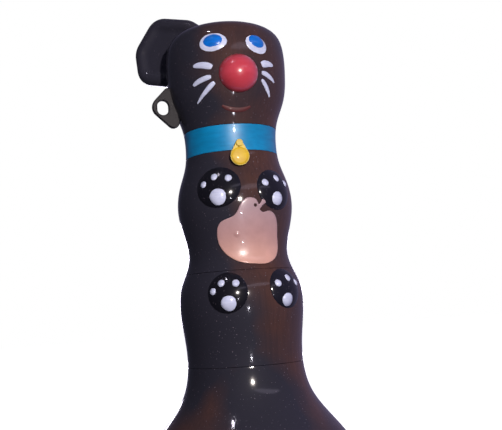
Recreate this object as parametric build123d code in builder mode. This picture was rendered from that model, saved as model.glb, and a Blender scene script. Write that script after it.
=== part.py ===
from build123d import *
import os
from math import cos, radians, sin, sqrt

# Twist-and-match cat: five turned wooden segments stacked on one steel spindle.
# Millimetres, +Z up. The origin is on the spindle's axis, on the underside of the felt pad.
# The face looks along -Y. Azimuths are degrees about +Z, measured from -Y towards +X.

# Heights of the five turned segments
foot_height = 50.0
hips_height = 39.8
chest_height = 51.2
collar_height = 11.4
head_height = 47.6
seam_gap = 0.12

# Radii of the turned outline
foot_radius = 50.5
flare_radius = 38.9
lower_waist_radius = 25.2
hips_radius = 27.1
upper_waist_radius = 22.1
chest_radius = 25.3
neck_radius = 20.3
head_radius = 26.7
foot_rim_height = 6.0
rim_round = 2.5

# How far each segment is turned in the stored pose, degrees
hips_turn = 4.9
chest_turn = 2.3
collar_turn = -5.4
head_turn = -3.3

# Spindle, washers, bushes and nuts
rod_radius = 3.0
rod_chamfer = 0.5
running_clearance = 0.05
seat_clearance = 0.1
washer_clearance = 0.3
bore_clearance = 0.6
bush_wall = 2.4
bush_length = 9.0
washer_radius = 12.0
nut_washer_radius = 9.0
washer_thickness = 1.2
counterbore_radius = 10.5
nut_across_flats = 10.0
nut_height = 5.2
nut_chamfer = 0.4
nut_floor = 14.0
thread_beyond_nut = 1.5
spring_radius = 6.5
spring_wire_radius = 0.7
spring_height = 9.0
spring_turns = 4
spring_end_gap = 0.1
head_floor = 21.0
plug_thickness = 6.5
plug_clearance = 0.05

# Felt pad under the foot
pad_radius = 41.0
pad_thickness = 2.5
pad_stand = 0.5

# Painted and applied details
enamel = 0.5
iris_enamel = 0.35
paw_rise = 1.7
paw_depth = 6.2
pad_rise = 0.6
toe_radius = 1.65
mouth_width = 1.8

# Ears
ear_azimuths = {"left": -130.0, "right": 138.0}
ear_drops = {"left": 0.0, "right": 6.0}
ear_thickness = 9.0
ear_round = 3.2
ear_dowel_radius = 1.75
ear_dowel_length = 15.0
ear_dowel_below_crown = 9.0

# Nose
nose_radius = 8.6
nose_sink = 1.6
nose_azimuth = -1.8
nose_height = 20.6
peg_radius = 2.5
peg_length = 12.0

# Tag and its pin
tag_radius = 4.0
tag_thickness = 1.2
tag_drop = 5.5
tag_lug_radius = 1.4
tag_stand_off = 3.0
tag_pin_height = 2.1
tag_pin_radius = 0.7
tag_pin_depth = 5.0
tag_pin_head_radius = 1.5
tag_pin_head_thickness = 0.8
tag_pin_head_round = 0.3
tag_end_play = 0.3
tag_pin_shoulder_gap = 0.5

# Hang loop on the side of the head
loop_reach = 29.8
loop_height = 11.0
loop_thickness = 2.6
loop_round = 0.6
loop_lobes = [(0.0, 1.4, 4.7), (4.4, -5.4, 2.8), (2.8, 7.6, 2.4)]
loop_hole_rise = 1.0
loop_hole_width = 5.0
loop_hole_length = 6.6
loop_shank_radius = 1.2
loop_shank_length = 11.0
loop_shank_start = 14.1

hips_z = foot_height
chest_z = hips_z + hips_height
collar_z = chest_z + chest_height
head_z = collar_z + collar_height
crown_z = head_z + head_height
bush_radius = rod_radius + running_clearance + bush_wall
clear_radius = rod_radius + bore_clearance
washer_hole_radius = rod_radius + washer_clearance
ear_dowel_z = crown_z - ear_dowel_below_crown
tag_pin_z = collar_z + tag_pin_height
tag_plane_distance = neck_radius + tag_stand_off
reach = 2 * foot_radius

# The outline from the foot's rim to the top of the head, as (radius, height)
outline = [
    (foot_radius, foot_rim_height),
    (flare_radius, foot_rim_height + 16.0),
    (lower_waist_radius + 2.5, hips_z - 12.0),
    (lower_waist_radius, hips_z),
    (hips_radius - 1.5, hips_z + 11.0),
    (hips_radius, chest_z - 15.8),
    (hips_radius - 0.9, chest_z - 5.8),
    (upper_waist_radius, chest_z + 5.2),
    (upper_waist_radius + 0.8, chest_z + 15.2),
    (chest_radius, collar_z - 24.0),
    (chest_radius - 1.2, collar_z - 13.0),
    (neck_radius + 0.7, collar_z - 3.0),
    (neck_radius, collar_z + 4.5),
    (neck_radius + 1.2, head_z + 3.6),
    (head_radius - 1.5, head_z + 13.6),
    (head_radius, crown_z - 23.0),
    (head_radius - 0.2, crown_z - 12.0),
    (head_radius - 2.3, crown_z - 5.5),
    (head_radius - 8.0, crown_z - 1.6),
    (head_radius - 16.0, crown_z - 0.3),
    (0.0, crown_z),
]


def body_radius(height):
    """Radius of the turned outline at a height, read between its stations."""
    for (low_radius, low), (high_radius, high) in zip(outline, outline[1:]):
        if low <= height <= high:
            return low_radius + (high_radius - low_radius) * (height - low) / (high - low)
    return foot_radius


def facing(azimuth, distance=0.0):
    """Upright plane that looks outward at an azimuth, with local Y up."""
    turn = radians(azimuth)
    outward = (sin(turn), -cos(turn), 0)
    origin = (distance * outward[0], distance * outward[1], 0)
    return Plane(origin=origin, x_dir=(cos(turn), sin(turn), 0), z_dir=outward)


def radial(azimuth):
    """Upright plane through the axis, with local X outward at an azimuth and local Y up."""
    turn = radians(azimuth)
    return Plane(origin=(0, 0, 0), x_dir=(sin(turn), -cos(turn), 0), z_dir=(-cos(turn), -sin(turn), 0))


def turned(bottom, top, grow=0.0):
    """The turned outline between two heights, solid to the axis, grown outward."""
    stations = [(radius + grow, height) for radius, height in outline[:-1]] + outline[-1:]
    with BuildPart() as turning:
        with BuildSketch(Plane.XZ):
            with BuildLine():
                side = Spline(*stations, tangents=[(-0.75, 1.0), (-1.0, 0.0)])
                Polyline(side @ 0, (foot_radius + grow, pad_stand), (0, pad_stand), side @ 1)
            make_face()
            with Locations((0, bottom)):
                Rectangle(reach, top - bottom, align=(Align.MIN, Align.MIN), mode=Mode.INTERSECT)
        revolve(axis=Axis.Z)
    return turning.part


def save(part, name):
    part.label = name
    export_step(part, f"parts/{name}.step")


def disc(name, bottom, thickness, radius, hole_radius):
    """A flat washer on the spindle."""
    with BuildPart() as washer:
        with BuildSketch(Plane.XY.offset(bottom)):
            Circle(radius)
            Circle(hole_radius, mode=Mode.SUBTRACT)
        extrude(amount=thickness)
    save(washer.part, name)


def nut(name, bottom):
    """A plain hexagon nut on the spindle."""
    with BuildPart() as hexagon:
        with BuildSketch(Plane.XY.offset(bottom)):
            RegularPolygon(nut_across_flats / 2, 6, major_radius=False)
            Circle(rod_radius, mode=Mode.SUBTRACT)
        extrude(amount=nut_height)
        chamfer(hexagon.edges().group_by(Axis.Z)[-1].filter_by(GeomType.LINE), nut_chamfer)
    save(hexagon.part, name)


def bush(name, bottom):
    """A brass bush pressed into the bottom of a segment, running on the spindle."""
    with BuildPart() as sleeve:
        with BuildSketch(Plane.XY.offset(bottom)):
            Circle(bush_radius)
            Circle(rod_radius + running_clearance, mode=Mode.SUBTRACT)
        extrude(amount=bush_length)
    save(sleeve.part, name)


def spindle_bore(bottom, top):
    """What a segment's bore removes: the bush's seat, then a clearance hole above it."""
    with BuildPart() as bore:
        with BuildSketch(Plane.XY.offset(bottom)):
            Circle(bush_radius)
        extrude(amount=bush_length)
        with BuildSketch(Plane.XY.offset(bottom)):
            Circle(clear_radius)
        extrude(amount=top - bottom)
    return bore.part


def washer_seat(seam):
    """What the recess for a thrust washer removes; the washer stands proud by the seam's gap."""
    with BuildPart() as recess:
        with BuildSketch(Plane.XY.offset(seam - washer_thickness)):
            Circle(washer_radius + seat_clearance)
        extrude(amount=washer_thickness)
    return recess.part


# Foot, felt pad and the spindle's lower fixing

def foot():
    with BuildPart() as piece:
        add(turned(pad_stand, hips_z - seam_gap))
        rims = piece.edges().filter_by(GeomType.CIRCLE).filter_by(
            lambda edge: edge.radius > foot_radius - rim_round
        )
        fillet(rims, rim_round)
        with BuildSketch(Plane.XY.offset(pad_stand)):
            Circle(pad_radius + seat_clearance)
        extrude(amount=pad_thickness - pad_stand, mode=Mode.SUBTRACT)
        with BuildSketch(Plane.XY.offset(pad_stand)):
            Circle(counterbore_radius)
        extrude(amount=nut_floor - pad_stand, mode=Mode.SUBTRACT)
        with BuildSketch(Plane.XY.offset(pad_stand)):
            Circle(rod_radius)
        extrude(amount=hips_z, mode=Mode.SUBTRACT)
        add(washer_seat(hips_z), mode=Mode.SUBTRACT)
    save(piece.part, "base_foot")


def felt_pad():
    with BuildPart() as piece:
        with BuildSketch(Plane.XY):
            Circle(pad_radius)
        extrude(amount=pad_thickness)
    save(piece.part, "base_pad")


nut_top = nut_floor - washer_thickness
rod_bottom = nut_top - nut_height - thread_beyond_nut
spring_bottom = head_z + head_floor + washer_thickness
spring_top = spring_bottom + spring_height
lock_nut_bottom = spring_top + washer_thickness
rod_top = lock_nut_bottom + nut_height + thread_beyond_nut


def spindle():
    with BuildPart() as rod:
        with BuildSketch(Plane.XY.offset(rod_bottom)):
            Circle(rod_radius)
        extrude(amount=rod_top - rod_bottom)
        chamfer(rod.edges().filter_by(GeomType.CIRCLE), rod_chamfer)
    save(rod.part, "spindle_rod")


def preload_spring():
    """Compression spring that presses the stack together above the head's floor."""
    rise = spring_height - 2 * (spring_wire_radius + spring_end_gap)
    start = spring_bottom + spring_wire_radius + spring_end_gap
    with BuildPart() as coil:
        with BuildLine() as path:
            Helix(pitch=rise / spring_turns, height=rise, radius=spring_radius, center=(0, 0, start))
        with BuildSketch(Plane(origin=path.line @ 0, z_dir=path.line % 0)):
            Circle(spring_wire_radius)
        sweep(is_frenet=True)
    save(coil.part, "preload_spring")


# Segments of the stack

def segment(bottom, top):
    """A turned segment with its bush seat, its bore and the seat for the washer on top of it."""
    with BuildPart() as piece:
        add(turned(bottom, top - seam_gap))
        add(spindle_bore(bottom, top), mode=Mode.SUBTRACT)
        add(washer_seat(top), mode=Mode.SUBTRACT)
    return piece.part


def head():
    """The top segment, with a pocket for the spring, peg holes and a mouth for the crown plug."""
    with BuildPart() as piece:
        add(turned(head_z, crown_z))
        add(spindle_bore(head_z, head_z + head_floor), mode=Mode.SUBTRACT)
        with BuildSketch(Plane.XY.offset(head_z + head_floor)):
            Circle(counterbore_radius)
        extrude(amount=head_height, mode=Mode.SUBTRACT)
        with BuildSketch(facing(nose_azimuth, head_radius - peg_length)):
            with Locations((0, head_z + nose_height)):
                Circle(peg_radius)
        extrude(amount=reach, mode=Mode.SUBTRACT)
        for side, azimuth in ear_azimuths.items():
            with BuildSketch(facing(azimuth, head_radius - ear_dowel_length / 2)):
                with Locations((0, ear_dowel_z - ear_drops[side])):
                    Circle(ear_dowel_radius)
            extrude(amount=reach, mode=Mode.SUBTRACT)
        with BuildSketch(facing(-90, loop_shank_start)):
            with Locations((0, head_z + loop_height)):
                Circle(loop_shank_radius)
        extrude(amount=reach, mode=Mode.SUBTRACT)
    save(piece.part, "head_block")


def crown_plug():
    """Turned plug that closes the spring's pocket, flush with the crown."""
    with BuildPart() as piece:
        add(turned(crown_z - plug_thickness, crown_z))
        with BuildSketch(Plane.XY.offset(crown_z - plug_thickness)):
            Circle(counterbore_radius - plug_clearance)
        extrude(amount=2 * plug_thickness, mode=Mode.INTERSECT)
    save(piece.part, "crown_plug")


# Ears, nose and hang loop

def ear(side, azimuth, head_solid):
    """Thick rounded ear, standing out in a radial plane and seated on the head by a dowel."""
    drop = ear_drops[side]
    lobes = [(31.0, crown_z + 3.2, 9.0), (37.0, crown_z - 4.0, 9.0), (37.2, crown_z - 10.6, 8.2),
             (20.0, crown_z - 0.8, 10.0), (27.0, crown_z - 13.0, 8.5)]
    with BuildPart() as piece:
        with BuildSketch(radial(azimuth)):
            for distance, height, radius in lobes:
                with Locations((distance, height - drop)):
                    Circle(radius)
            make_hull()
        extrude(amount=ear_thickness / 2, both=True)
        fillet(piece.edges(), ear_round)
        add(head_solid, mode=Mode.SUBTRACT)
        with BuildSketch(facing(azimuth)):
            with Locations((0, ear_dowel_z - drop)):
                Circle(ear_dowel_radius)
        extrude(amount=head_radius + ear_dowel_length / 2, mode=Mode.SUBTRACT)
    save(piece.part.solids().sort_by(SortBy.VOLUME)[-1], f"ear_{side}")
    with BuildPart() as dowel:
        with BuildSketch(facing(azimuth, head_radius - ear_dowel_length / 2)):
            with Locations((0, ear_dowel_z - drop)):
                Circle(ear_dowel_radius)
        extrude(amount=ear_dowel_length)
    save(dowel.part, f"ear_dowel_{side}")


def nose(head_solid):
    """Red ball seated against the face, with its own peg."""
    with BuildPart() as piece:
        with Locations(facing(nose_azimuth, head_radius - nose_sink).location
                       * Location((0, head_z + nose_height, 0))):
            Sphere(nose_radius)
        add(head_solid, mode=Mode.SUBTRACT)
        with BuildSketch(facing(nose_azimuth, head_radius - peg_length)):
            with Locations((0, head_z + nose_height)):
                Circle(peg_radius)
        extrude(amount=peg_length)
    save(piece.part, "nose_ball")


def hang_loop(head_solid):
    """Small eye on a shank, for a cord, on the head's left side as the viewer sees it."""
    with BuildPart() as piece:
        with BuildSketch(Plane.XZ.offset(-loop_thickness / 2)):
            for inward, up, radius in loop_lobes:
                with Locations((inward - loop_reach, head_z + loop_height + up)):
                    Circle(radius)
            make_hull()
            with Locations((-loop_reach, head_z + loop_height + loop_hole_rise)):
                SlotOverall(loop_hole_length, loop_hole_width, rotation=90, mode=Mode.SUBTRACT)
        extrude(amount=loop_thickness)
        fillet(piece.edges(), loop_round)
        add(head_solid, mode=Mode.SUBTRACT)
        with BuildSketch(facing(-90, loop_shank_start)):
            with Locations((0, head_z + loop_height)):
                Circle(loop_shank_radius)
        extrude(amount=loop_shank_length)
    save(piece.part, "hang_loop")


# Enamel on the turned surface: an outline pushed outward, cut to a thin conforming skin

def skin(bottom, top, inner, outer):
    with BuildPart() as shell:
        add(turned(bottom, top, outer))
        add(turned(bottom, top, inner), mode=Mode.SUBTRACT)
    return shell.part


def ellipse_enamel(name, azimuth, height, half_width, half_height, tilt, shell):
    with BuildPart() as piece:
        with BuildSketch(facing(azimuth)):
            with Locations(Location((0, height, 0), (0, 0, tilt))):
                Ellipse(half_width, half_height)
        extrude(amount=reach)
        add(shell, mode=Mode.INTERSECT)
    save(piece.part, name)


def stroke_enamel(name, azimuth, points, width, shell):
    """A brush stroke along an arc through three points, each (sideways, height)."""
    with BuildPart() as piece:
        with BuildSketch(facing(azimuth)):
            with BuildLine(mode=Mode.PRIVATE) as stroke:
                ThreePointArc(*points)
            SlotArc(stroke.edges()[0], width)
        extrude(amount=reach)
        add(shell, mode=Mode.INTERSECT)
    save(piece.part, name)


def tummy(shell):
    """Hand-painted tummy patch with a short wisp and a bare spot at its top edge."""
    middle = chest_z + 12.0
    edge = [(0.4, 18.0), (-2.8, 16.6), (-4.6, 13.6), (-6.8, 10.6), (-12.0, 8.2), (-13.2, 3.4),
            (-11.2, -3.4), (-5.7, -8.4), (1.5, -9.9), (8.2, -9.5), (12.4, -6.0), (13.0, 1.0),
            (12.8, 7.0), (11.2, 11.0), (8.6, 12.2), (6.0, 11.6), (4.4, 12.8), (3.9, 15.4), (2.8, 17.2)]
    wisp = [(4.4, 13.8, 0.8), (4.9, 14.4, 0.75)]
    bare_spot, bare_radius = (2.5, 14.5), 0.75
    with BuildPart() as piece:
        with BuildSketch(facing(0.0)):
            with BuildLine():
                Spline(*[(x, middle + z) for x, z in edge], periodic=True)
            make_face()
            for x, z, radius in wisp:
                with Locations((x, middle + z)):
                    Circle(radius)
            with Locations((bare_spot[0], middle + bare_spot[1])):
                Circle(bare_radius, mode=Mode.SUBTRACT)
        extrude(amount=reach)
        add(shell, mode=Mode.INTERSECT)
    save(piece.part, "tummy_patch")


# Paws: low domes on the body, each with a palm pad and three toe pads

def boss(azimuth, height, half_width, half_height, grow):
    """Ellipsoid that meets the body in an outline of the given half sizes."""
    around = body_radius(height)
    sink = paw_depth - paw_rise
    side_drop = around - sqrt(around**2 - half_width**2)
    end_drop = around - (body_radius(height + half_height) + body_radius(height - half_height)) / 2
    wide = half_width / sqrt(1 - ((sink - side_drop) / paw_depth) ** 2) + grow
    tall = half_height / sqrt(1 - ((sink - end_drop) / paw_depth) ** 2) + grow
    with BuildPart() as ball:
        Sphere(1.0)
        scale(by=(wide, tall, paw_depth + grow))
    place = facing(azimuth, around - sink).location * Location((0, height, 0))
    return ball.part.moved(place)


def paw(place, azimuth, height, half_width, half_height, palm, palm_radius, toes, jacket):
    with BuildPart() as dome:
        add(boss(azimuth, height, half_width, half_height, 0.0))
        add(jacket, mode=Mode.INTERSECT)
    save(dome.part, f"paw_{place}")
    pads = {"palm_pad": ([palm], palm_radius), "toe_pads": (toes, toe_radius)}
    for kind, (centres, radius) in pads.items():
        with BuildPart() as piece:
            for sideways, up in centres:
                lean = azimuth + sideways / radians(1) / body_radius(height)
                with BuildSketch(facing(lean)):
                    with Locations((0, height + up)):
                        Circle(radius)
                extrude(amount=reach)
            add(boss(azimuth, height, half_width, half_height, pad_rise), mode=Mode.INTERSECT)
            add(boss(azimuth, height, half_width, half_height, 0.0), mode=Mode.SUBTRACT)
            add(jacket, mode=Mode.INTERSECT)
        save(piece.part, f"{kind}_{place}")


# Tag on the collar

def collar_tag():
    """Pear-shaped tag that hangs on its pin, clear of the chest's shoulder."""
    with BuildPart() as piece:
        with BuildSketch(facing(collar_turn, tag_plane_distance)):
            with Locations((0, tag_pin_z)):
                Circle(tag_lug_radius)
            with Locations((0, tag_pin_z - tag_drop)):
                Circle(tag_radius)
            make_hull()
            with Locations((0, tag_pin_z)):
                Circle(tag_pin_radius + running_clearance, mode=Mode.SUBTRACT)
        extrude(amount=tag_thickness)
    save(piece.part, "collar_tag")


def tag_pin():
    tip = tag_plane_distance + tag_thickness + tag_end_play
    with BuildPart() as piece:
        with BuildSketch(facing(collar_turn, neck_radius - tag_pin_depth)):
            with Locations((0, tag_pin_z)):
                Circle(tag_pin_radius)
        extrude(amount=tip - neck_radius + tag_pin_depth)
        with BuildSketch(facing(collar_turn, tip)):
            with Locations((0, tag_pin_z)):
                Circle(tag_pin_head_radius)
        extrude(amount=tag_pin_head_thickness)
        outward = Axis((0, 0, 0), facing(collar_turn).z_dir)
        fillet(piece.edges().filter_by(GeomType.CIRCLE).sort_by(outward)[-1], tag_pin_head_round)
        with BuildSketch(facing(collar_turn, neck_radius + tag_pin_shoulder_gap)):
            with Locations((0, tag_pin_z)):
                Circle(tag_pin_head_radius)
        extrude(amount=tag_stand_off - tag_pin_shoulder_gap - tag_end_play)
    save(piece.part, "tag_pin")


os.makedirs("parts", exist_ok=True)

foot()
felt_pad()
disc("base_washer", nut_top, washer_thickness, nut_washer_radius, washer_hole_radius)
nut("base_nut", nut_top - nut_height)
spindle()
preload_spring()
disc("spring_washer", spring_top, washer_thickness, nut_washer_radius, washer_hole_radius)
nut("lock_nut", lock_nut_bottom)

seams = {"hips": hips_z, "chest": chest_z, "collar": collar_z, "head": head_z}
for name, seam in seams.items():
    disc(f"thrust_washer_{name}", seam - washer_thickness, washer_thickness, washer_radius,
         washer_hole_radius)
    bush(f"bush_{name}", seam)

save(segment(hips_z, chest_z), "hips_segment")
save(segment(chest_z, collar_z), "chest_segment")
with BuildPart() as collar:
    add(segment(collar_z, head_z))
    with BuildSketch(facing(collar_turn, neck_radius - tag_pin_depth)):
        with Locations((0, tag_pin_z)):
            Circle(tag_pin_radius)
    extrude(amount=reach, mode=Mode.SUBTRACT)
save(collar.part, "collar_ring")
head()
disc("head_washer", head_z + head_floor, washer_thickness, counterbore_radius - washer_clearance,
     washer_hole_radius)
crown_plug()

head_solid = turned(head_z, crown_z)
for side, azimuth in ear_azimuths.items():
    ear(side, azimuth, head_solid)
nose(head_solid)
hang_loop(head_solid)
collar_tag()
tag_pin()

# Face
face = skin(head_z, crown_z - 5, 0.0, enamel)
iris_face = skin(head_z + 25, crown_z - 5, enamel, enamel + iris_enamel)
# azimuth, height, half width, half height, tilt, how far the iris sits above the middle
eyes = {"left": (-20.8, 34.5, 7.0, 4.7, 4.0, 0.5), "right": (21.2, 33.4, 6.3, 4.5, -14.0, 1.0)}
iris_share = 0.67
for side, (azimuth, height, wide, tall, tilt, iris_rise) in eyes.items():
    ellipse_enamel(f"eye_white_{side}", head_turn + azimuth, head_z + height, wide, tall, tilt, face)
    ellipse_enamel(f"iris_{side}", head_turn + azimuth, head_z + height + iris_rise,
                   iris_share * wide, iris_share * tall, tilt, iris_face)

# azimuth, width, then (sideways, height) of the stroke's start, middle and end
whiskers = {
    "left_upper": (-32.3, 2.9, [(4.4, 23.6), (0.0, 25.4), (-4.2, 25.2)]),
    "left_middle": (-34.0, 2.3, [(4.3, 19.6), (0.0, 19.2), (-4.4, 17.2)]),
    "left_lower": (-32.5, 2.2, [(4.8, 17.2), (0.8, 14.2), (-4.6, 9.8)]),
    "right_upper": (32.2, 3.1, [(-3.4, 24.6), (0.0, 25.6), (3.4, 25.0)]),
    "right_middle": (33.2, 2.3, [(-3.8, 21.2), (0.0, 20.4), (3.8, 17.9)]),
    "right_lower": (31.0, 2.2, [(-2.8, 18.2), (0.0, 15.4), (2.6, 11.6)]),
}
for place, (azimuth, width, points) in whiskers.items():
    raised = [(sideways, head_z + up) for sideways, up in points]
    stroke_enamel(f"whisker_{place}", head_turn + azimuth, raised, width, face)
stroke_enamel("mouth", head_turn, [(-6.6, head_z + 7.6), (-0.5, head_z + 4.6), (5.6, head_z + 7.0)],
              mouth_width, face)

# Paws: azimuth, height, half width, half height, palm centre and radius, toe centres
front_paws = {
    "front_left": (-31.9, 33.0, 10.2, 9.6, (0.3, -2.2), 3.75, [(-6.0, 3.8), (-1.2, 6.6), (4.8, 5.6)]),
    "front_right": (28.9, 31.9, 10.0, 9.4, (-0.8, -2.6), 3.1, [(-5.8, 4.2), (0.6, 6.4), (6.4, 4.6)]),
}
hind_paws = {
    "hind_left": (-30.8, 28.8, 9.2, 8.8, (0.6, -2.7), 3.4, [(-5.8, 2.6), (-2.2, 5.8), (3.8, 5.4)]),
    "hind_right": (27.5, 29.2, 9.4, 8.8, (-1.4, -3.0), 3.0, [(-5.2, 4.0), (0.8, 6.2), (6.0, 4.2)]),
}
bodies_with_paws = {"chest": (chest_turn, chest_z, front_paws), "hips": (hips_turn, hips_z, hind_paws)}
jackets = {
    "chest": skin(chest_z, collar_z - seam_gap, 0.0, 2 * paw_rise),
    "hips": skin(hips_z, chest_z - seam_gap, 0.0, 2 * paw_rise),
}
for level, (turn, bottom, paws) in bodies_with_paws.items():
    for place, (azimuth, height, wide, tall, palm, palm_radius, toes) in paws.items():
        paw(place, turn + azimuth, bottom + height, wide, tall, palm, palm_radius, toes, jackets[level])
tummy(skin(chest_z, collar_z, 0.0, enamel))
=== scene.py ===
import math

import bpy
import numpy as np
from mathutils import Matrix, Vector


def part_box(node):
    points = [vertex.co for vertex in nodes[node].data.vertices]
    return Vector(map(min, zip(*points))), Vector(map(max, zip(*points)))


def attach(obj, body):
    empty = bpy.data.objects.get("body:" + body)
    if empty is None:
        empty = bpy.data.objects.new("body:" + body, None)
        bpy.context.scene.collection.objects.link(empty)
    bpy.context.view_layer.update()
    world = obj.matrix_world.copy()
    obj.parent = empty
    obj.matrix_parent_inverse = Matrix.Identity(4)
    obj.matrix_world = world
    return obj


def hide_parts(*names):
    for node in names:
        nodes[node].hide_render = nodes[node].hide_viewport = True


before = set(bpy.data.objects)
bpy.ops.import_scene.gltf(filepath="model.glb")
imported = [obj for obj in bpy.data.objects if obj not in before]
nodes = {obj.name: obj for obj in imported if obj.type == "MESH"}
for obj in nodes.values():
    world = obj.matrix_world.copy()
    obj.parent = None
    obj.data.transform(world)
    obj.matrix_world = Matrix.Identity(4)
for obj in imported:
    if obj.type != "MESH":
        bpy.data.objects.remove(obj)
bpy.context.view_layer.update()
mm = 0.001
tau = 2 * math.pi
print("frame loaded:", len(nodes), "nodes")


def deselectAll():
    if bpy.context.object and bpy.context.object.mode != "OBJECT":
        bpy.ops.object.mode_set(mode="OBJECT")
    bpy.ops.object.select_all(action="DESELECT")


def only(piece):
    deselectAll()
    piece.select_set(True)
    bpy.context.view_layer.objects.active = piece


def named(name):
    piece = bpy.context.object
    piece.name = name
    piece.data.name = name
    return piece


def settle(piece):
    # the place goes into the mesh, so the object itself sits at the origin
    only(piece)
    bpy.ops.object.transform_apply(location=True, rotation=True, scale=True)
    return piece


def joinAll(pieces):
    # the first piece takes in the others
    only(pieces[0])
    for piece in pieces:
        piece.select_set(True)
    if len(pieces) > 1:
        bpy.ops.object.join()


def applyModifier(piece, kind, **settings):
    only(piece)
    modifier = piece.modifiers.new(kind.title(), kind)
    for key, value in settings.items():
        setattr(modifier, key, value)
    bpy.ops.object.modifier_apply(modifier=modifier.name)


def smooth(piece, degrees=35):
    only(piece)
    bpy.ops.object.shade_smooth_by_angle(angle=math.radians(degrees))


def finishPiece(piece, material, body, replaced=()):
    piece.data.materials.clear()
    piece.data.materials.append(material)
    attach(piece, body)
    if replaced:
        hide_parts(*replaced)


def hexColour(code):
    channels = [int(code[i:i + 2], 16) / 255 for i in (1, 3, 5)]
    return (*[c / 12.92 if c <= 0.04045 else ((c + 0.055) / 1.055) ** 2.4 for c in channels], 1.0)


def addNode(material, kind, settings=None, links=None):
    node = material.node_tree.nodes.new(kind)
    for key, value in (settings or {}).items():
        if key in node.inputs:
            node.inputs[key].default_value = value
        else:
            setattr(node, key, value)
    for key, source in (links or {}).items():
        material.node_tree.links.new(source, node.inputs[key])
    return node


def newMaterial(name, settings):
    material = bpy.data.materials.new(name)
    material.use_nodes = True
    shader = material.node_tree.nodes["Principled BSDF"]
    for key, value in settings.items():
        shader.inputs[key].default_value = value
    return material, shader


def perMetre(size):
    # a noise of scale s has features about 1/s across, so a size in mm gives its scale
    return 1 / (size * mm)


def connect(material, source, target):
    material.node_tree.links.new(source, target)


def stretched(material, scale):
    place = addNode(material, "ShaderNodeTexCoord")
    return addNode(material, "ShaderNodeMapping", {"Scale": scale}, {"Vector": place.outputs["Object"]})


def noise(material, vector, size, detail=3.0, roughness=0.5):
    return addNode(material, "ShaderNodeTexNoise",
                   {"Scale": perMetre(size), "Detail": detail, "Roughness": roughness},
                   {"Vector": vector})


def ramp(material, source, stops):
    node = addNode(material, "ShaderNodeValToRGB", links={"Fac": source})
    while len(node.color_ramp.elements) < len(stops):
        node.color_ramp.elements.new(0.5)
    for element, (position, colour) in zip(node.color_ramp.elements, stops):
        element.position = position
        element.color = colour
    return node.outputs["Color"]


def grey(value):
    return (value, value, value, 1.0)


def mixed(material, factor, first, second, blend="MIX"):
    # sockets 0, 6 and 7 are the factor and the two colours of a colour mix
    node = addNode(material, "ShaderNodeMix", {"data_type": "RGBA", "blend_type": blend})
    for socket, source in ((node.inputs[0], factor), (node.inputs[6], first), (node.inputs[7], second)):
        if isinstance(source, (tuple, float)):
            socket.default_value = source
        else:
            connect(material, source, socket)
    return node.outputs[2]


def bump(material, shader, height, depth, strength=1.0, socket="Normal"):
    node = addNode(material, "ShaderNodeBump", {"Distance": depth * mm, "Strength": strength},
                   {"Height": height})
    connect(material, node.outputs["Normal"], shader.inputs[socket])


# Stained beech under brushed gloss lacquer: thin and brown in places and nearly black in random pooled
# patches, with small hard glints from the film.
# The colour also carries painted shade down the left side and a painted dark reflection in one spot on the
# foot
lacquerLook = {
    "stain": "#533730", "stainDeep": "#47302a", "grainWidth": 1.1, "grainLength": 26.0, "grainDepth": 0.02,
    "deepTone": "#2b2b36", "patch": 34.0, "brownUpTo": 0.42, "darkestFrom": 0.78,
    # painted shade: darker down the left side, fading out low on the foot
    "paintedShadeSide": (-0.966, 0.259, -0.2), "darkFrom": -32.0, "darkTo": -3.0, "sideDarkness": 0.55,
    "clearBelow": 26.0, "darkAbove": 58.0, "shareBelow": 0.1,
    # painted dark reflection: a dark spot on the front of the foot
    "spot": (1.0, -31.0, 32.0), "spotFrom": 8.0, "spotTo": 25.0, "spotDarkness": 0.45,
    "orangePeel": 2.6, "peelDepth": 0.03, "speck": 0.5, "dust": "#8a8090", "dustFrom": 0.8, "dustFull": 0.83,
    "dustShare": 0.5, "roughness": (0.55, 0.65), "coatRoughness": 0.1,
}


def patchesAndPaintedShade(material, look, patches):
    # how dark the colour goes: the random pooled patches, plus painted shade on the left side and a painted
    # dark reflection in the spot on the foot
    place = addNode(material, "ShaderNodeTexCoord").outputs["Object"]
    # painted shade: the colour darkens towards the left side, less so towards the bottom of the foot
    sideways = addNode(material, "ShaderNodeVectorMath", {"operation": "DOT_PRODUCT"}, {0: place})
    sideways.inputs[1].default_value = look["paintedShadeSide"]
    sideShade = addNode(material, "ShaderNodeMapRange", {
        "From Min": look["darkFrom"] * mm, "From Max": look["darkTo"] * mm, "To Max": look["sideDarkness"],
    }, {"Value": sideways.outputs["Value"]})
    split = addNode(material, "ShaderNodeSeparateXYZ", links={"Vector": place})
    above = addNode(material, "ShaderNodeMapRange", {
        "From Min": look["clearBelow"] * mm, "From Max": look["darkAbove"] * mm, "To Min": look["shareBelow"],
    }, {"Value": split.outputs["Z"]})
    # painted dark reflection: the colour darkens in a spot on the front of the foot
    away = addNode(material, "ShaderNodeVectorMath", {"operation": "DISTANCE"}, {0: place})
    away.inputs[1].default_value = [value * mm for value in look["spot"]]
    paintedReflection = addNode(material, "ShaderNodeMapRange", {
        "From Min": look["spotFrom"] * mm, "From Max": look["spotTo"] * mm, "To Min": look["spotDarkness"],
        "To Max": 0.0}, {"Value": away.outputs["Value"]})
    shade = addNode(material, "ShaderNodeMath", {"operation": "MULTIPLY"},
                    {0: sideShade.outputs["Result"], 1: above.outputs["Result"]})
    for more in (paintedReflection.outputs["Result"], patches):
        shade = addNode(material, "ShaderNodeMath", {"operation": "ADD"},
                        {0: shade.outputs["Value"], 1: more})
    return shade.outputs["Value"]


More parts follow.
